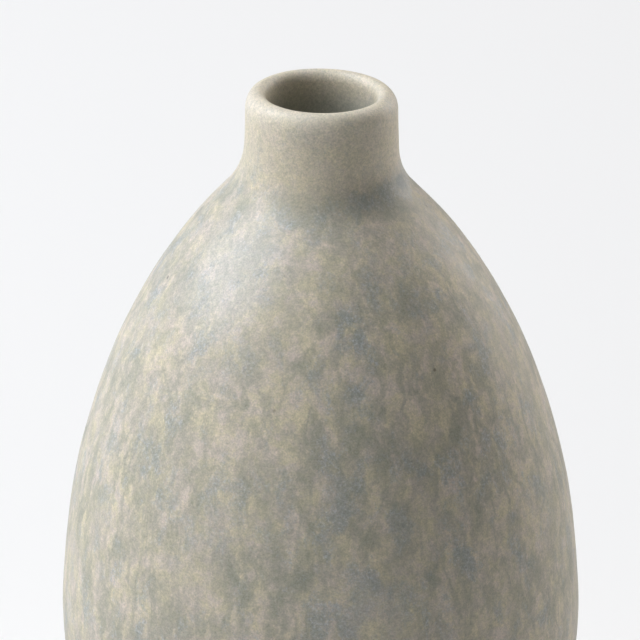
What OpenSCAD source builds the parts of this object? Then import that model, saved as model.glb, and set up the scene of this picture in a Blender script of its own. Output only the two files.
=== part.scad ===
// Sake bottle (tokkuri): a round-bellied stoneware flask with a short neck, a rolled lip and a
// turned foot ring. The clay is one fired piece. Three coats of glaze lie on it: one over the
// outside, one poured over the inside, and one in the recess of the foot.
// Every surface is a surface of revolution about Z. Z = 0 is the plane the foot stands on.
// Angles along the outline are the elevation of the surface's outward normal, in degrees.

/* [Belly] */
// Outside radius at the widest point
belly_r = 43; // [42:0.5:46]
// Height of the widest plane above the foot
belly_z = 48; // [46:0.5:49]
// Radius of the curve below the widest plane
under_arc = 65; // [63:0.5:67]
// Radius of the curve just above the widest plane
belly_arc = 156; // [150:1:160]
// Radius of the shoulder
shoulder_arc = 110; // [106:1:114]
// Radius of the upper shoulder, below the neck
upper_arc = 76; // [74:1:78]

/* [Neck] */
// Height of the top of the lip above the foot
lip_z = 138.8; // [137:0.1:142]
// Outside radius of the neck just under the lip
neck_r = 12.2; // [11.5:0.1:12.6]
// Radius of the straight bore of the neck
mouth_r = 8.9; // [8.5:0.1:9.2]
// Length of the straight slope between shoulder and neck
slope_len = 3.8; // [3:0.1:4.5]
// Radius of the hollow curve at the root of the neck
root_arc = 11.9; // [11:0.1:12.5]

/* [Lip] */
// Height of the outer rounding of the lip
lip_outer_h = 2.8; // [2:0.1:3.5]
// Height of the inner rounding of the lip
lip_inner_h = 1.8; // [1.2:0.1:2.2]
// Width of the inner rounding of the lip
lip_inner_w = 1.3; // [1.1:0.1:1.6]

/* [Foot] */
// Outside radius of the foot ring
foot_r = 24; // [23:0.5:25]
// Width of the foot ring
foot_w = 4; // [3:0.5:6]
// Rounding of the two lower edges of the foot ring
foot_edge = 0.8; // [0.3:0.1:1.2]
// Depth of the recess inside the foot ring, to the bare clay
recess_depth = 2.2; // [1.5:0.1:2.6]
// Thickness of the clay floor above the recess
floor_t = 4; // [3:0.5:5]
// Radius of the inside corner between floor and wall
floor_corner = 12; // [8:1:16]

/* [Glaze] */
// Thickness of the glaze
glaze_t = 0.5; // [0.3:0.1:0.6]
// Height above the foot at which the outer glaze stops
glaze_line = 3.6; // [3.4:0.1:5]

/* [Hidden] */
$fn = 96;

// Most that a straight step of an outline may stray from its curve
curve_tol = 0.02;

// Normal angles at which one curve of the outline runs into the next
under_end = 2.8;
belly_end = 9.5;
shoulder_end = 28.5;
slope = 42.8;

// Outer outline, glaze surface: centres of its curves, each tangent to the one before
under_c = [belly_r - under_arc, belly_z];
belly_c = under_c + (under_arc - belly_arc) * unit(under_end);
shoulder_c = belly_c + (belly_arc - shoulder_arc) * unit(belly_end);
upper_c = shoulder_c + (shoulder_arc - upper_arc) * unit(shoulder_end);
root_c = upper_c + (upper_arc + root_arc) * unit(slope) + slope_len * unit(slope + 90);

// The whole wall, glaze included, is as thick as leaves the neck's bore straight
wall = root_c[0] - root_arc - mouth_r;
clay_inside = wall - glaze_t;

// Neck: the straight line from the root curve's tangent point to the foot of the lip's rounding
lip_foot = [neck_r, lip_z - lip_outer_h];
to_lip = lip_foot - root_c;
neck_lean = atan2(to_lip[1], to_lip[0]) - acos(-root_arc / norm(to_lip));

// Lip: two quarter ellipses that meet at the crown
crown_r = mouth_r + lip_inner_w;
lip_outer_w = neck_r - crown_r;

// Inside corner of the floor, tangent to the flat floor and to the under curve
floor_z = recess_depth + floor_t + glaze_t;
inner_arc = under_arc - wall;
corner_a = -asin((belly_z - floor_z - floor_corner) / (inner_arc - floor_corner));
corner_c = under_c + (inner_arc - floor_corner) * unit(corner_a);

// Foot ring
recess_r = foot_r - foot_w;

// Unit vector at angle a
function unit(a) = [cos(a), sin(a)];

// Steps that an arc of radius r needs between angles a0 and a1
function steps(r, a0, a1) = max(3, ceil(abs(a1 - a0) / (2 * acos(1 - curve_tol / r))));

// Points of an elliptic arc from angle a0 to a1, without its first point
function arc(c, rx, ry, a0, a1) =
    let (n = steps(max(rx, ry), a0, a1))
    [for (i = [1:n]) let (a = a0 + (a1 - a0) * i / n) c + [rx * cos(a), ry * sin(a)]];

// Points of a round arc
function bow(c, r, a0, a1) = arc(c, r, r, a0, a1);

// Normal angle at which the under curve, t inside the glaze surface, is at height z or radius r
function angle_at_z(t, z) = -asin((belly_z - z) / (under_arc - t));
function angle_at_r(t, r) = -acos((r - under_c[0]) / (under_arc - t));

// The outline t inside the glaze surface, from the end of the under curve up to the neck's root
function shoulder_line(t) = concat(
    bow(belly_c, belly_arc - t, under_end, belly_end),
    bow(shoulder_c, shoulder_arc - t, belly_end, shoulder_end),
    bow(upper_c, upper_arc - t, shoulder_end, slope),
    [root_c - (root_arc + t) * unit(slope)]
);

// Outer outline, t inside the glaze surface, from normal angle a0 up to the crown of the lip
function outside(t, a0) = concat(
    [under_c + (under_arc - t) * unit(a0)],
    bow(under_c, under_arc - t, a0, 0),
    bow(under_c, under_arc - t, 0, under_end),
    shoulder_line(t),
    bow(root_c, root_arc + t, slope + 180, neck_lean + 180),
    [lip_foot - [t, 0]],
    arc([crown_r, lip_foot[1]], lip_outer_w - t, lip_outer_h - t, 0, 90)
);

// Inner outline, t inside the glaze surface, from the middle of the floor up to the crown
function inside(t) =
    let (depth = wall - t, lip_z0 = lip_z - lip_inner_h)
    concat(
        [[0, floor_z - depth], [corner_c[0], floor_z - depth]],
        bow(corner_c, floor_corner + depth, -90, corner_a),
        bow(under_c, under_arc - t, corner_a, 0),
        bow(under_c, under_arc - t, 0, under_end),
        shoulder_line(t),
        bow(root_c, root_arc + t, slope + 180, 180),
        [[mouth_r + depth, lip_z0]],
        arc([crown_r, lip_z0], lip_inner_w - depth, lip_inner_h - depth, 180, 90)
    );

function reversed(v) = [for (i = [len(v) - 1:-1:0]) v[i]];

// Clay below the glaze line: recess, foot ring and the bare strip above it
function foot_line(t) =
    let (join_a = angle_at_r(t, foot_r))
    concat(
        [[0, recess_depth], [recess_r, recess_depth], [recess_r, foot_edge]],
        bow([recess_r + foot_edge, foot_edge], foot_edge, 180, 270),
        [[foot_r - foot_edge, 0]],
        bow([foot_r - foot_edge, foot_edge], foot_edge, -90, 0),
        [[foot_r, under_c[1] + (under_arc - t) * sin(join_a)]]
    );

// Fired stoneware: wall, floor, neck, lip and foot ring in one piece
module clay_body() {
    color("tan")
        rotate_extrude()
            polygon(concat(
                foot_line(glaze_t),
                outside(glaze_t, angle_at_z(glaze_t, glaze_line)),
                reversed(inside(clay_inside))
            ));
}

// Matt mottled coat from the glaze line up to the crown of the lip
module outer_glaze() {
    color([0.66, 0.64, 0.58])
        rotate_extrude()
            polygon(concat(
                outside(0, angle_at_z(0, glaze_line)),
                reversed(outside(glaze_t, angle_at_z(glaze_t, glaze_line)))
            ));
}

// Coat poured over the inside, from the floor up to the crown of the lip
module inner_glaze() {
    color([0.42, 0.42, 0.36])
        rotate_extrude()
            polygon(concat(
                inside(wall),
                reversed(inside(clay_inside))
            ));
}

// Coat in the recess of the foot, inside the bare ring
module base_glaze() {
    color([0.6, 0.6, 0.55])
        translate([0, 0, recess_depth - glaze_t])
            cylinder(r = recess_r, h = glaze_t);
}

clay_body();
outer_glaze();
inner_glaze();
base_glaze();
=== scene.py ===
"""Looks of a glazed stoneware sake bottle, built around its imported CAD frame.

Lengths are in millimetres until a mesh is made, and in metres after that. Angles along an outline
are the elevation of the surface's outward normal, in degrees.
"""
import math

import bpy
import numpy as np
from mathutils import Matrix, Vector, noise


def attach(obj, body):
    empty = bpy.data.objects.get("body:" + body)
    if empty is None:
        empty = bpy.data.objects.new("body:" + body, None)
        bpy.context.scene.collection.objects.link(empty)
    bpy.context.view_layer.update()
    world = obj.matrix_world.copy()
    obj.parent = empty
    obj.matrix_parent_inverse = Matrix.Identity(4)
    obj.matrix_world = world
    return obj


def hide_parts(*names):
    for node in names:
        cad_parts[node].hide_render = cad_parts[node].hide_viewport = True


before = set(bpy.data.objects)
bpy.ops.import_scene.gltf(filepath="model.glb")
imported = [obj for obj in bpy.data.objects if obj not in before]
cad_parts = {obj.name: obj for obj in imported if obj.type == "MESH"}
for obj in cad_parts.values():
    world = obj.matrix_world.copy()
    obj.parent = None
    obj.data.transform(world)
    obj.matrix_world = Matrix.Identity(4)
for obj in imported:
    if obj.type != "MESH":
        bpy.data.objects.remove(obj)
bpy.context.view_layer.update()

MM = 0.001

# ---------------------------------------------------------------- the outline, as in the CAD design
BELLY_R, BELLY_Z = 43.0, 48.0
UNDER_ARC, BELLY_ARC, SHOULDER_ARC, UPPER_ARC = 65.0, 156.0, 110.0, 76.0
UNDER_END, BELLY_END, SHOULDER_END, SLOPE = 2.8, 9.5, 28.5, 42.8
SLOPE_LEN, ROOT_ARC = 3.8, 11.9
NECK_R, MOUTH_R, LIP_Z = 12.2, 8.9, 138.8
LIP_OUTER_H, LIP_INNER_H, LIP_INNER_W = 2.8, 1.8, 1.3
FOOT_R, FOOT_W, FOOT_EDGE = 24.0, 4.0, 0.8
RECESS_DEPTH, FLOOR_T, FLOOR_CORNER = 2.2, 4.0, 12.0
GLAZE_T, GLAZE_LINE = 0.5, 3.6

SEGMENTS = 360          # faces round the bottle
SKIN_STEP = 0.8         # length of a face on the outside and the foot ring
INSIDE_STEP = 1.2       # inside the bottle
RECESS_STEP = 1.6       # in the recess of the foot
HIDDEN_STEP = 6.0       # where clay and glaze meet
TURN_STEP = 7.0         # degrees that a face turns along a tight curve, at most


def unit(a):
    """Unit vector at angle a."""
    return np.array([math.cos(math.radians(a)), math.sin(math.radians(a))])


UNDER_C = np.array([BELLY_R - UNDER_ARC, BELLY_Z])
BELLY_C = UNDER_C + (UNDER_ARC - BELLY_ARC) * unit(UNDER_END)
SHOULDER_C = BELLY_C + (BELLY_ARC - SHOULDER_ARC) * unit(BELLY_END)
UPPER_C = SHOULDER_C + (SHOULDER_ARC - UPPER_ARC) * unit(SHOULDER_END)
ROOT_C = UPPER_C + (UPPER_ARC + ROOT_ARC) * unit(SLOPE) + SLOPE_LEN * unit(SLOPE + 90)
WALL = ROOT_C[0] - ROOT_ARC - MOUTH_R
LIP_FOOT = np.array([NECK_R, LIP_Z - LIP_OUTER_H])
TO_LIP = LIP_FOOT - ROOT_C
NECK_LEAN = math.degrees(math.atan2(TO_LIP[1], TO_LIP[0]) - math.acos(-ROOT_ARC / np.hypot(*TO_LIP)))
CROWN_R = MOUTH_R + LIP_INNER_W
LIP_OUTER_W = NECK_R - CROWN_R
FLOOR_Z = RECESS_DEPTH + FLOOR_T + GLAZE_T
INNER_ARC = UNDER_ARC - WALL
CORNER_A = -math.degrees(math.asin((BELLY_Z - FLOOR_Z - FLOOR_CORNER) / (INNER_ARC - FLOOR_CORNER)))
CORNER_C = UNDER_C + (INNER_ARC - FLOOR_CORNER) * unit(CORNER_A)
RECESS_R = FOOT_R - FOOT_W


def arc(centre, rx, ry, a0, a1, step):
    """Points of an elliptic arc from angle a0 to a1, without its first point."""
    turn = min(TURN_STEP, math.degrees(step / max(rx, ry)))
    n = max(3, math.ceil(abs(a1 - a0) / turn))
    return [centre + unit(a0 + (a1 - a0) * i / n) * (rx, ry) for i in range(1, n + 1)]


def bow(centre, r, a0, a1, step):
    """Points of a round arc, without its first point."""
    return arc(centre, r, r, a0, a1, step)


def straight(start, end, step):
    """Points of a straight stretch, without its first point."""
    start, end = np.array(start, float), np.array(end, float)
    n = max(1, math.ceil(np.hypot(*(end - start)) / step))
    return [start + (end - start) * i / n for i in range(1, n + 1)]


def shoulder_line(t, step):
    """The outline t inside the glaze surface, from the end of the under curve to the neck's root."""
    slope_end = ROOT_C - (ROOT_ARC + t) * unit(SLOPE)
    line = bow(BELLY_C, BELLY_ARC - t, UNDER_END, BELLY_END, step)
    line += bow(SHOULDER_C, SHOULDER_ARC - t, BELLY_END, SHOULDER_END, step)
    line += bow(UPPER_C, UPPER_ARC - t, SHOULDER_END, SLOPE, step)
    return line + straight(line[-1], slope_end, step)


def outside(t, a0, step):
    """Outer outline, t inside the glaze surface, from normal angle a0 up to the crown of the lip."""
    line = [UNDER_C + (UNDER_ARC - t) * unit(a0)]
    line += bow(UNDER_C, UNDER_ARC - t, a0, UNDER_END, step)
    line += shoulder_line(t, step)
    line += bow(ROOT_C, ROOT_ARC + t, SLOPE + 180, NECK_LEAN + 180, step)
    line += straight(line[-1], LIP_FOOT - (t, 0), step)
    return line + arc(np.array([CROWN_R, LIP_FOOT[1]]), LIP_OUTER_W - t, LIP_OUTER_H - t, 0, 90, step)


def inside(t, step):
    """Inner outline, t inside the outer glaze surface, from the middle of the floor to the crown."""
    depth = WALL - t
    lip_z0 = LIP_Z - LIP_INNER_H
    line = [np.array([0.0, FLOOR_Z - depth])]
    line += straight(line[0], (CORNER_C[0], FLOOR_Z - depth), step)
    line += bow(CORNER_C, FLOOR_CORNER + depth, -90, CORNER_A, step)
    line += bow(UNDER_C, UNDER_ARC - t, CORNER_A, UNDER_END, step)
    line += shoulder_line(t, step)
    line += bow(ROOT_C, ROOT_ARC + t, SLOPE + 180, 180, step)
    line += straight(line[-1], (MOUTH_R + depth, lip_z0), step)
    lip_w, lip_h = LIP_INNER_W - depth, LIP_INNER_H - depth
    return line + arc(np.array([CROWN_R, lip_z0]), lip_w, lip_h, 180, 90, step)


def angle_at_z(t, z):
    """Normal angle at which the under curve, t inside the glaze surface, is at height z."""
    return -math.degrees(math.asin((BELLY_Z - z) / (UNDER_ARC - t)))


def angle_at_r(t, r):
    """Normal angle at which the under curve, t inside the glaze surface, is at radius r."""
    return -math.degrees(math.acos((r - UNDER_C[0]) / (UNDER_ARC - t)))


# ---------------------------------------------------------------- uneven surface
LIP_TILT = 1.0          # degrees the lip dips towards +X
NECK_SHIFT = 0.16       # the neck stands this far off the axis, towards +X
SWAY_FROM, SWAY_TO = 112.0, 132.0       # heights between which the neck comes to stand so
SWELL = 0.35            # height of the swelling on the shoulder, on the -X side
SWELL_Z, SWELL_H = 121.0, 7.0           # where it is, and how far up and down it reaches
RELIEF = ((16.0, 0.12, 1), (5.0, 0.05, 2))      # unevenness of the glaze: size, height, seed
HEM = (9.0, 0.45, 3)    # how the glaze's lower edge strays from its line: size, height, seed
HEM_TOP = 14.0          # above this height, nothing of that is left
SEED_SHIFT = (13.7, 7.3, 3.1)           # how far apart two seeds' noises lie, in sizes
FACET_ANGLE = 35.0      # degrees between faces at an edge that stays crisp


def smooth(x, a, b):
    """0 up to a, 1 from b on, and a soft step between."""
    s = np.clip((x - a) / (b - a), 0, 1)
    return s * s * (3 - 2 * s)


def sway(points):
    """The neck set down a little off centre, and the lip cut a little out of level."""
    share = smooth(points[:, 2], SWAY_FROM, SWAY_TO)
    out = points.copy()
    out[:, 0] += NECK_SHIFT * share
    out[:, 2] -= math.tan(math.radians(LIP_TILT)) * points[:, 0] * share
    return out


def lumps(points, size, amount, seed):
    """Gentle unevenness: noise of that size and amount at each point."""
    shift = Vector([seed * step for step in SEED_SHIFT])
    return amount * np.array([noise.noise(Vector(p) / size + shift) for p in points])


def relief(points):
    """Height of the uneven glaze at each point of the smooth surface."""
    side = np.maximum(0, -points[:, 0] / np.maximum(1, np.hypot(points[:, 0], points[:, 1]))) ** 2
    swell = SWELL * side * np.exp(-((points[:, 2] - SWELL_Z) / SWELL_H) ** 2)
    return swell + sum(lumps(points, *noisy) for noisy in RELIEF)


def hem(points):
    """The glaze's lower edge raised and lowered along the under curve, fading out above it."""
    low = points[:, 2] < HEM_TOP
    near = points[low]
    wave = lumps(near * (1, 1, 0), *HEM) * (1 - smooth(near[:, 2], GLAZE_LINE, HEM_TOP))
    drop = BELLY_Z - near[:, 2]
    slope = drop / np.sqrt(UNDER_ARC ** 2 - drop ** 2)
    near[:, :2] *= (1 + slope * wave / np.hypot(near[:, 0], near[:, 1]))[:, None]
    near[:, 2] += wave
    out = points.copy()
    out[low] = near
    return out


# ---------------------------------------------------------------- meshes
def facing(line):
    """Unit normals of an outline, on the right-hand side of its direction."""
    along = np.gradient(line, axis=0)
    across = np.c_[along[:, 1], -along[:, 0]]
    return across / np.linalg.norm(across, axis=1, keepdims=True)


def revolve(name, outline, closed=False, skin=None, hemmed=False):
    """A mesh turned around Z from an outline of (r, z) points, in mm.

    Points with an index from skin[0] up to skin[1] lie on the seen surface, and get its relief. A
    point at r = 0 is a pole. A closed outline runs back from its last point to its first. hemmed
    gives its lower edge the wave of the hem.
    """
    pts = np.array(outline)
    turn = np.arange(SEGMENTS) * 2 * math.pi / SEGMENTS
    ring = np.c_[np.cos(turn), np.sin(turn)]
    poles = set(np.flatnonzero(pts[:, 0] == 0))
    rows = [np.c_[ring * r, np.full(SEGMENTS, z)] for r, z in pts]
    if skin:
        for i, (out, up) in zip(range(*skin), facing(pts[slice(*skin)])):
            normal = np.c_[ring * out, np.full(SEGMENTS, up)]
            rows[i] = rows[i] + normal * relief(rows[i])[:, None]
    rows = [row[:1] * (0, 0, 1) if i in poles else row for i, row in enumerate(rows)]
    first = np.cumsum([0] + [len(row) for row in rows])
    verts = np.vstack(rows)
    if hemmed:
        verts = hem(verts)
    verts = sway(verts) * MM

    def corner(i, k):
        return int(first[i]) + (0 if i in poles else k % SEGMENTS)

    faces = []
    ends = list(range(1, len(pts))) + ([0] if closed else [])
    for i, j in enumerate(ends):        # a band of faces from each point i to the next, j
        if i in poles and j in poles:
            continue
        for k in range(SEGMENTS):
            face = (corner(i, k), corner(i, k + 1), corner(j, k + 1), corner(j, k))
            faces.append(tuple(dict.fromkeys(face)))
    mesh = bpy.data.meshes.new(name)
    mesh.from_pydata(verts.tolist(), [], faces)
    mesh.shade_smooth()
    mesh.set_sharp_from_angle(angle=math.radians(FACET_ANGLE))
    piece = bpy.data.objects.new(name, mesh)
    bpy.context.scene.collection.objects.link(piece)
    return piece


def outer_coat():
    """The glaze over the outside, rolled at its lower edge."""
    a0 = angle_at_z(0, GLAZE_LINE)
    half = GLAZE_T / 2
    roll = bow(UNDER_C + (UNDER_ARC - half) * unit(a0), half, a0 - 180, a0, HIDDEN_STEP)
    skin = outside(0, a0, SKIN_STEP)
    back = outside(GLAZE_T, a0, HIDDEN_STEP)
    line = roll[:-1] + skin + back[::-1]
    seen = (len(roll) - 1, len(roll) - 1 + len(skin))
    return revolve("outer_glaze_coat", line, closed=True, skin=seen, hemmed=True)


def inner_coat():
    """The glaze over the inside, from the middle of the floor to the crown of the lip and back."""
    skin = inside(WALL, INSIDE_STEP)
    back = inside(WALL - GLAZE_T, HIDDEN_STEP)
    line = skin[::-1] + back
    return revolve("inner_glaze_coat", line, closed=True, skin=(0, len(skin)))


def foot_line():
    """The foot's outline, from the middle of its recess round the foot ring to the glaze."""
    join_a = angle_at_r(GLAZE_T, FOOT_R)
    top = UNDER_C[1] + (UNDER_ARC - GLAZE_T) * unit(join_a)[1]
    line = [np.array([0.0, RECESS_DEPTH])]
    line += straight(line[0], (RECESS_R, RECESS_DEPTH), RECESS_STEP)
    line += straight(line[-1], (RECESS_R, FOOT_EDGE), SKIN_STEP)
    line += bow(np.array([RECESS_R + FOOT_EDGE, FOOT_EDGE]), FOOT_EDGE, 180, 270, SKIN_STEP)
    line += straight(line[-1], (FOOT_R - FOOT_EDGE, 0), SKIN_STEP)
    line += bow(np.array([FOOT_R - FOOT_EDGE, FOOT_EDGE]), FOOT_EDGE, -90, 0, SKIN_STEP)
    return line + straight(line[-1], (FOOT_R, top), SKIN_STEP)


def clay():
    """The clay body: its foot is seen, and the rest lies under the glaze."""
    line = foot_line()
    line += outside(GLAZE_T, angle_at_r(GLAZE_T, FOOT_R), HIDDEN_STEP)[1:]
    line += inside(WALL - GLAZE_T, HIDDEN_STEP)[-2::-1]
    return revolve("clay", line)


def recess_coat():
    """The glaze in the recess under the foot."""
    low = RECESS_DEPTH - GLAZE_T
    line = [np.array([0.0, low])]
    line += straight(line[0], (RECESS_R, low), RECESS_STEP)
    line += straight(line[-1], (RECESS_R, RECESS_DEPTH), SKIN_STEP)
    line += straight(line[-1], (0.0, RECESS_DEPTH), HIDDEN_STEP)
    return revolve("recess_glaze_coat", line)


# ---------------------------------------------------------------- materials
class Shading:
    """A material built from nodes. Values given to its methods are sockets, numbers or tuples."""

    def __init__(self, name, **sockets):
        self.material = bpy.data.materials.new(name)
        self.material.use_nodes = True
        self.tree = self.material.node_tree
        self.shader = self.tree.nodes["Principled BSDF"]
        self.wire(self.shader, sockets)
        where = self.node("ShaderNodeTexCoord")
        self.place = self.vector("SCALE", where.outputs["Object"], scale=1 / MM)

    def wire(self, node, sockets):
        """Link or set a node's inputs, by name, with _ for a space, or by index."""
        for name, value in sockets.items():
            socket = node.inputs[name.replace("_", " ") if isinstance(name, str) else name]
            if isinstance(value, bpy.types.NodeSocket):
                self.tree.links.new(value, socket)
            else:
                socket.default_value = value

    def node(self, kind, props=None, **sockets):
        made = self.tree.nodes.new(kind)
        for name, value in (props or {}).items():
            setattr(made, name, value)
        self.wire(made, sockets)
        return made

    def vector(self, operation, a, b=None, scale=None, out=0):
        made = self.node("ShaderNodeVectorMath", {"operation": operation})
        self.wire(made, {0: a} if b is None else {0: a, 1: b})
        if scale is not None:
            self.wire(made, {"Scale": scale})
        return made.outputs[out]

    def math(self, operation, a, b=0.0):
        made = self.node("ShaderNodeMath", {"operation": operation})
        self.wire(made, {0: a, 1: b})
        return made.outputs[0]

    def noise(self, at, size, detail=2.0, roughness=0.5, colour=False):
        made = self.node("ShaderNodeTexNoise", Vector=at, Scale=1 / size, Detail=detail,
                         Roughness=roughness)
        return made.outputs["Color" if colour else "Fac"]

    def spots(self, at, size):
        """Distance to the nearest of some scattered points that lie about size apart, in sizes."""
        return self.node("ShaderNodeTexVoronoi", Vector=at, Scale=1 / size).outputs["Distance"]

    def step(self, value, low, high, to_low=0.0, to_high=1.0):
        """value taken smoothly from low..high to to_low..to_high, and held beyond."""
        made = self.node("ShaderNodeMapRange", {"interpolation_type": "SMOOTHSTEP"}, Value=value)
        self.wire(made, {"From Min": low, "From Max": high, "To Min": to_low, "To Max": to_high})
        return made.outputs[0]

    def mix(self, share, a, b):
        """Colour a, or b where share is 1."""
        made = self.node("ShaderNodeMix", {"data_type": "RGBA"})
        for index, value in ((0, share), (6, a), (7, b)):
            if isinstance(value, tuple):
                value = (*value, 1)
            self.wire(made, {index: value})
        return made.outputs[2]

    def height(self):
        """Height above the floor, in mm."""
        return self.node("ShaderNodeSeparateXYZ", Vector=self.place).outputs["Z"]

    def blot(self, at, azimuth, z, width, tall, strength):
        """A mark of that strength on the outside, which fades out to an oval a little over that size."""
        away = self.vector("SUBTRACT", at, on_outside(azimuth, z))
        away = self.vector("MULTIPLY", away, (2 / width, 2 / width, 2 / tall))
        return self.step(self.vector("LENGTH", away, out="Value"), 0.3, 1.2, strength, 0.0)

    def blots(self, at, marks):
        """The sum of those marks."""
        total = 0.0
        for mark in marks:
            total = self.math("ADD", total, self.blot(at, *mark))
        return total

    def finish(self, colour, roughness, height, depth):
        """The material. In its bumps, a height of 1 stands depth mm high."""
        bump = self.node("ShaderNodeBump", Height=height, Distance=depth * MM)
        self.wire(self.shader, {"Base Color": colour, "Roughness": roughness, "Normal": bump.outputs[0]})
        return self.material


# Colours of the glaze
PINK = (0.660, 0.576, 0.490)
OCHRE = (0.660, 0.592, 0.418)
GREEN = (0.376, 0.370, 0.292)
SLATE = (0.345, 0.365, 0.335)
DEEP = (0.200, 0.235, 0.240)
ICE = (0.600, 0.622, 0.640)
STRAW = (0.730, 0.655, 0.495)
CREAM = (0.850, 0.790, 0.660)
# Milky pale, for paler patches and for the painted highlight on the -X shoulder
MILK_AND_HIGHLIGHT = (0.720, 0.700, 0.650)
# Olive, for the painted shade down inside the mouth
OLIVE_SHADE = (0.360, 0.370, 0.325)
PIN = (0.14, 0.12, 0.09)

# Sizes of its patterns
BEND_SIZE, BEND = 6.0, 4.0      # bodies, threads, pools and marks are pushed up to half BEND aside
TONE_SIZE, HUE_SIZE, THREAD_SIZE, POOL_SIZE = 3.8, 3.4, 4.2, 4.6
FROST_SIZE, PIT_SIZE = 0.45, 0.5
QUIET_SIZE = 11.0               # between quieter and livelier stretches
RUN = (1.0, 1.0, 0.6)           # bodies and pools are drawn out downwards
STREAK = (1.0, 1.0, 0.22)       # and threads more so

# Heights between which it changes
NECK_FROM, NECK_TO = 124.0, 129.0       # to the calmer, straw-coloured neck
LIP_FROM, LIP_TO = 134.4, 137.6         # to the paler lip
# Painted shade: the inside glaze darkens to olive further down the mouth
MOUTH_SHADE_FROM, MOUTH_SHADE_TO = 138.4, 132.4   # to olive, down inside the mouth

# Marks on the outside: azimuth in degrees (0 is -Y, 90 is +X), height, width and height of the mark,
# strength. One of negative strength keeps the pools, or the green, away.
# The pool and green marks at heights 122 to 125 ring the neck's root in slate and green: pooled glaze
# with painted shade in the crease, strongest at azimuth 76, on the side away from the key light.
POOLS_AND_NECK_SHADE = ((26, 102, 14, 22, -0.07), (72, 119, 7, 7, -0.08), (8, 68, 16, 20, 0.09),
         (76, 125, 9, 6, 0.36), (52, 124.5, 12, 5, 0.15), (30, 125, 11, 5, 0.12),
         (14, 124, 9, 6, 0.12), (-10, 122, 9, 6, 0.10), (73, 111, 5, 4, 0.20),
         (13, 106, 5, 5, 0.12), (7, 84, 5, 9, 0.12), (18, 79, 5, 9, 0.16),
         (35, 72, 4, 9, 0.14), (-26, 103, 8, 5, 0.08), (110, 125, 9, 5, 0.16),
         (150, 124, 9, 6, 0.16), (200, 110, 6, 8, 0.14), (-120, 118, 7, 6, 0.12))
GREENS_AND_NECK_SHADE = ((26, 102, 16, 26, -0.09), (-54, 109, 8, 16, 0.10), (16, 124, 20, 7, 0.24),
          (52, 124, 14, 6, 0.22), (-20, 124, 12, 7, 0.22), (-66, 123, 14, 6, 0.14),
          (36, 112, 4, 14, 0.12), (30, 105, 3, 12, 0.14), (-18, 106, 5, 8, 0.10),
          (120, 124, 20, 6, 0.14), (-150, 124, 16, 6, 0.14))
# Pale marks: the first, on the -X shoulder facing the key light, is a painted highlight; the others are
# paler patches of glaze.
PALES_AND_HIGHLIGHT = ((-41, 114, 20, 26, 0.42), (60, 100, 10, 14, 0.10), (170, 100, 18, 24, 0.30))
# Pinholes: azimuth, height, strength
PINHOLES = ((-74, 109.5, 0.7), (8, 115, 0.3), (36, 101, 0.7), (-13, 97, 0.35), (82, 120, 0.5),
            (-95, 84, 0.6), (140, 96, 0.7), (-160, 70, 0.5), (60, 40, 0.6))
PINHOLE_R = (0.12, 0.45)        # a pinhole is full inside the first radius, and ends at the second

# Grain: size, contrast
GLAZE_GRAIN = ((0.28, 0.62), (0.75, 0.36))
CLAY_GRAIN = ((0.25, 0.5), (0.8, 0.4))
GRAIN_CHROMA = 0.12             # how much the grain varies in hue, as a share of its contrast
GLAZE_BUMP, CLAY_BUMP = 0.03, 0.10
MIDDLE = (0.5, 0.5, 0.5)        # of a noise's colour

OUTER_LINE = np.array(outside(0, angle_at_z(0, GLAZE_LINE), HIDDEN_STEP))


def on_outside(azimuth, z):
    """The point on the glaze at that azimuth and height."""
    r = float(np.interp(z, OUTER_LINE[:, 1], OUTER_LINE[:, 0]))
    a = math.radians(azimuth)
    return (r * math.sin(a), -r * math.cos(a), z)


def bodies(g, bent, loud):
    """The soft warm bodies and the grey-green runs and threads between them, with painted shade at the
    neck's root: tone and colour.
    """
    runs = g.vector("MULTIPLY", bent, RUN)
    # the green marks include painted shade in the crease at the neck's root
    tone = g.math("SUBTRACT", g.noise(runs, TONE_SIZE, 6.0, 0.60), g.blots(bent, GREENS_AND_NECK_SHADE))
    hue = g.step(g.noise(bent, HUE_SIZE, 5.0, 0.7), 0.36, 0.64)
    cold = g.math("MULTIPLY", g.step(tone, 0.28, 0.62, 1.0, 0.0), loud)
    base = g.mix(cold, g.mix(hue, PINK, OCHRE), GREEN)
    streaks = g.vector("MULTIPLY", bent, STREAK)
    thread = g.math("ABSOLUTE", g.math("SUBTRACT", g.noise(streaks, THREAD_SIZE, 3.0, 0.55), 0.5))
    thread = g.math("MULTIPLY", g.step(thread, 0.0, 0.10, 0.6, 0.0), loud)
    return tone, g.mix(thread, base, GREEN)


def pools(g, base, bent, loud):
    """Slate pools over base, with pale crystals about them, and painted shade at the neck's root: depth
    of the pool and colour.
    """
    runs = g.vector("MULTIPLY", bent, RUN)
    # the marks include pooled glaze with painted shade in the crease at the neck's root
    pool = g.math("ADD", g.noise(runs, POOL_SIZE, 5.0, 0.68), g.blots(bent, POOLS_AND_NECK_SHADE))
    base = g.mix(g.math("MULTIPLY", g.step(pool, 0.52, 0.67, 0.0, 0.75), loud), base, SLATE)
    base = g.mix(g.step(pool, 0.72, 0.95, 0.0, 0.7), base, DEEP)
    frost = g.math("MULTIPLY", g.step(pool, 0.48, 0.60), g.step(pool, 0.66, 0.85, 1.0, 0.3))
    frost = g.math("MULTIPLY", frost, g.step(g.noise(g.place, FROST_SIZE, 2.0, 0.75), 0.48, 0.64))
    return pool, g.mix(g.math("MULTIPLY", frost, g.math("MULTIPLY", loud, 0.5)), base, ICE)


def pinholes(g):
    """Strength of the pinhole at each point."""
    holes = 0.0
    for azimuth, z, strength in PINHOLES:
        away = g.vector("DISTANCE", g.place, on_outside(azimuth, z), out="Value")
        holes = g.math("ADD", holes, g.step(away, *PINHOLE_R, strength, 0.0))
    return holes


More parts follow.
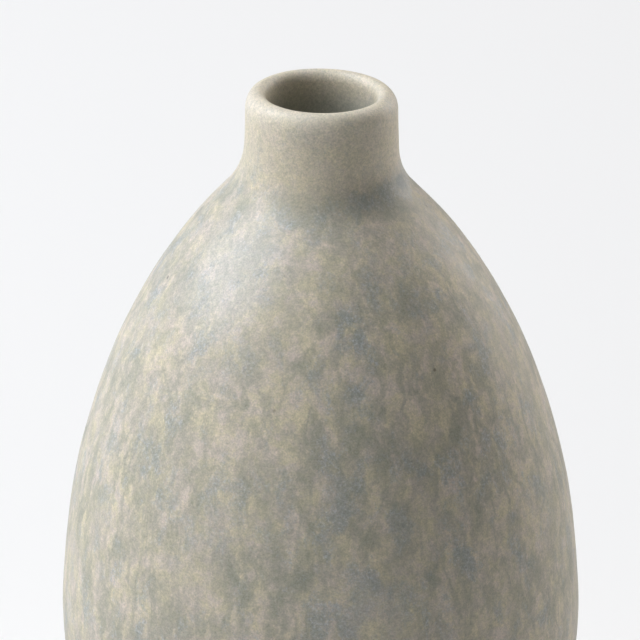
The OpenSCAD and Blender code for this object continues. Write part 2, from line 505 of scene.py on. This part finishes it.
def grained(g, base, grain):
    """base with grains lighter and darker, and a little warmer and cooler."""
    for size, contrast in grain:
        tint = g.vector("SUBTRACT", g.noise(g.place, size, 1.0, 0.6, colour=True), MIDDLE)
        light = g.math("ADD", g.vector("DOT_PRODUCT", tint, (contrast, 0, 0), out="Value"), 1.0)
        tint = g.vector("ADD", g.vector("SCALE", tint, scale=contrast * GRAIN_CHROMA), (1, 1, 1))
        base = g.vector("MULTIPLY", base, g.vector("SCALE", tint, scale=light))
    return base


def mottled(name, inside=False):
    """Matt ash glaze: warm bodies, grey-green runs and slate pools. On the inside, painted shade darkens
    it to olive down the mouth.
    """
    g = Shading(name, Specular_IOR_Level=0.6)
    z = g.height()
    warp = g.vector("SUBTRACT", g.noise(g.place, BEND_SIZE, 3.0, 0.6, colour=True), MIDDLE)
    bent = g.vector("ADD", g.place, g.vector("SCALE", warp, scale=BEND))
    calm = g.step(z, NECK_FROM, NECK_TO)
    loud = g.math("SUBTRACT", 1.0, g.math("MULTIPLY", calm, 0.6))
    loud = g.math("MULTIPLY", loud, g.step(g.noise(g.place, QUIET_SIZE), 0.36, 0.60, 0.5, 1.0))

    tone, base = bodies(g, bent, loud)
    base = g.mix(g.math("MULTIPLY", calm, 0.5), base, STRAW)
    base = g.mix(g.step(z, LIP_FROM, LIP_TO, 0.0, 0.36), base, CREAM)
    # paler patches, and a painted highlight on the -X shoulder where the key light's reflection falls
    base = g.mix(g.blots(bent, PALES_AND_HIGHLIGHT), base, MILK_AND_HIGHLIGHT)
    pool, base = pools(g, base, bent, loud)
    # painted shade, darker and more olive further down inside the mouth
    if inside:
        base = g.mix(g.step(z, MOUTH_SHADE_TO, MOUTH_SHADE_FROM, 0.8, 0.0), base, OLIVE_SHADE)
    holes = pinholes(g)
    base = g.mix(holes, grained(g, base, GLAZE_GRAIN), PIN)

    relief_height = g.math("ADD", g.math("MULTIPLY", tone, 1.2), g.noise(g.place, PIT_SIZE, 2.0, 0.7))
    relief_height = g.math("SUBTRACT", relief_height, holes)
    return g.finish(base, g.step(pool, 0.4, 0.7, 0.50, 0.42), relief_height, GLAZE_BUMP)


BUFF = (0.50, 0.40, 0.30)
TOAST = (0.40, 0.29, 0.20)
IRON = (0.16, 0.11, 0.08)
TOAST_SIZE, SPECK_SIZE, SPECK_PATCH, GRIT_SIZE = 7.0, 1.6, 2.4, 0.4
TURNING = 5.0                   # radians of the turning marks for each mm across the foot


def bare_clay(name):
    """Unglazed stoneware: buff, toasted in places, with iron specks and a gritty, turned surface."""
    g = Shading(name)
    base = g.mix(g.step(g.noise(g.place, TOAST_SIZE, 4.0, 0.6), 0.40, 0.62), BUFF, TOAST)
    speck = g.step(g.spots(g.place, SPECK_SIZE), 0.10, 0.20, 0.8, 0.0)
    speck = g.math("MULTIPLY", speck, g.step(g.noise(g.place, SPECK_PATCH, 1.0), 0.48, 0.56))
    base = grained(g, g.mix(speck, base, IRON), CLAY_GRAIN)
    spread = g.vector("LENGTH", g.vector("MULTIPLY", g.place, (1, 1, 0)), out="Value")
    turned = g.math("SINE", g.math("MULTIPLY", spread, TURNING))
    grit = g.noise(g.place, GRIT_SIZE, 3.0, 0.7)
    return g.finish(base, 0.82, g.math("ADD", g.math("MULTIPLY", turned, 0.15), grit), CLAY_BUMP)


# Each piece: its maker, the CAD node it replaces, its slot and its material
PIECES = (
    (outer_coat, "outer_glaze", "outer_glaze", mottled("outer_glaze")),
    (inner_coat, "inner_glaze", "inner_glaze", mottled("inner_glaze", inside=True)),
    (clay, "clay_body", "clay", bare_clay("bare_clay")),
    (recess_coat, "base_glaze", "base_glaze", mottled("base_glaze")),
)
for make, node, slot, material in PIECES:
    piece = make()
    piece.data.materials.append(material)
    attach(piece, "root")
    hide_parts(node)

# ---------------------------------------------------------------- camera
CAMERA_PITCH = 23.14            # degrees it looks down
CAMERA_DISTANCE = 0.780
CAMERA_LENS, CAMERA_SENSOR = 269.4, 36
CAMERA_CLIP = (0.05, 50)
AIM = Vector((-0.00013, 0, 0.09904))


def camera():
    data = bpy.data.cameras.new("camera")
    data.lens = CAMERA_LENS
    data.sensor_width = CAMERA_SENSOR
    data.clip_start, data.clip_end = CAMERA_CLIP
    thing = bpy.data.objects.new("camera", data)
    pitch = math.radians(CAMERA_PITCH)
    thing.location = AIM + CAMERA_DISTANCE * Vector((0, -math.cos(pitch), math.sin(pitch)))
    thing.rotation_euler = (math.pi / 2 - pitch, 0, 0)
    bpy.context.scene.collection.objects.link(thing)
    bpy.context.scene.camera = thing


# ---------------------------------------------------------------- light and floor
REACH = 2.1                     # distance of every light from the bottle
LIT = Vector((0, 0, 0.08))      # the point that every light faces


def softbox(name, azimuth, elevation, size, power, colour):
    """A rectangular area light. Azimuth 0 is the camera's side, and 90 is +X."""
    data = bpy.data.lights.new(name, "AREA")
    data.shape = "RECTANGLE"
    data.size, data.size_y = size
    data.energy = power
    data.color = colour
    thing = bpy.data.objects.new(name, data)
    a, e = math.radians(azimuth), math.radians(elevation)
    thing.location = REACH * Vector((math.sin(a) * math.cos(e), -math.cos(a) * math.cos(e), math.sin(e)))
    thing.rotation_euler = (LIT - thing.location).to_track_quat("-Z", "Y").to_euler()
    thing.visible_camera = False
    bpy.context.scene.collection.objects.link(thing)


PALE = 0.9                      # brightness of the surroundings as the camera sees them
FILL = 0.02                     # and as the bottle does
PALE_FROM, PALE_TO = 0.45, 0.8  # the floor fades into them between these distances from the bottle
FLOOR_HALF = 6.0
FLOOR_SEEN = (0.91, 0.90, 0.88)
FLOOR_BOUNCE = (0.76, 0.76, 0.75)       # colour of the floor in the light that it sends back


def surroundings():
    """A world that looks pale, and gives the bottle hardly any light of its own."""
    world = bpy.data.worlds.new("world")
    world.use_nodes = True
    nodes, links = world.node_tree.nodes, world.node_tree.links
    fill = nodes["Background"]
    fill.inputs["Color"].default_value = (1, 1, 1, 1)
    fill.inputs["Strength"].default_value = FILL
    seen = nodes.new("ShaderNodeBackground")
    seen.inputs["Strength"].default_value = PALE
    which = nodes.new("ShaderNodeMixShader")
    links.new(nodes.new("ShaderNodeLightPath").outputs["Is Camera Ray"], which.inputs["Fac"])
    links.new(fill.outputs[0], which.inputs[1])
    links.new(seen.outputs[0], which.inputs[2])
    links.new(which.outputs[0], nodes["World Output"].inputs["Surface"])
    bpy.context.scene.world = world


def floor_material():
    """Pale and matt, fading into the surroundings as the camera sees it."""
    g = Shading("floor", Roughness=0.8)
    seen = g.node("ShaderNodeLightPath").outputs["Is Camera Ray"]
    g.wire(g.shader, {"Base Color": g.mix(seen, FLOOR_BOUNCE, FLOOR_SEEN)})
    far = g.step(g.vector("LENGTH", g.place, out="Value"), PALE_FROM / MM, PALE_TO / MM)
    far = g.math("MULTIPLY", far, seen)
    pale = g.node("ShaderNodeEmission", Strength=PALE)
    both = g.node("ShaderNodeMixShader")
    g.wire(both, {0: far, 1: g.shader.outputs[0], 2: pale.outputs[0]})
    g.wire(g.tree.nodes["Material Output"], {"Surface": both.outputs[0]})
    return g.material


def floor():
    corners = [(x * FLOOR_HALF, y * FLOOR_HALF, 0) for x, y in ((-1, -1), (1, -1), (1, 1), (-1, 1))]
    mesh = bpy.data.meshes.new("floor")
    mesh.from_pydata(corners, [], [(0, 1, 2, 3)])
    mesh.materials.append(floor_material())
    thing = bpy.data.objects.new("floor", mesh)
    bpy.context.scene.collection.objects.link(thing)


camera()
softbox("key", -88, 51, (1.5, 2.1), 56, (0.975, 1.0, 1.05))
softbox("card", -132, 8, (1.5, 1.2), 6.5, (0.81, 0.96, 1.23))
softbox("rim", 129, 24, (1.5, 1.8), 22.5, (1.04, 1.0, 0.96))
surroundings()
floor()
bpy.context.scene.view_settings.view_transform = "Standard"
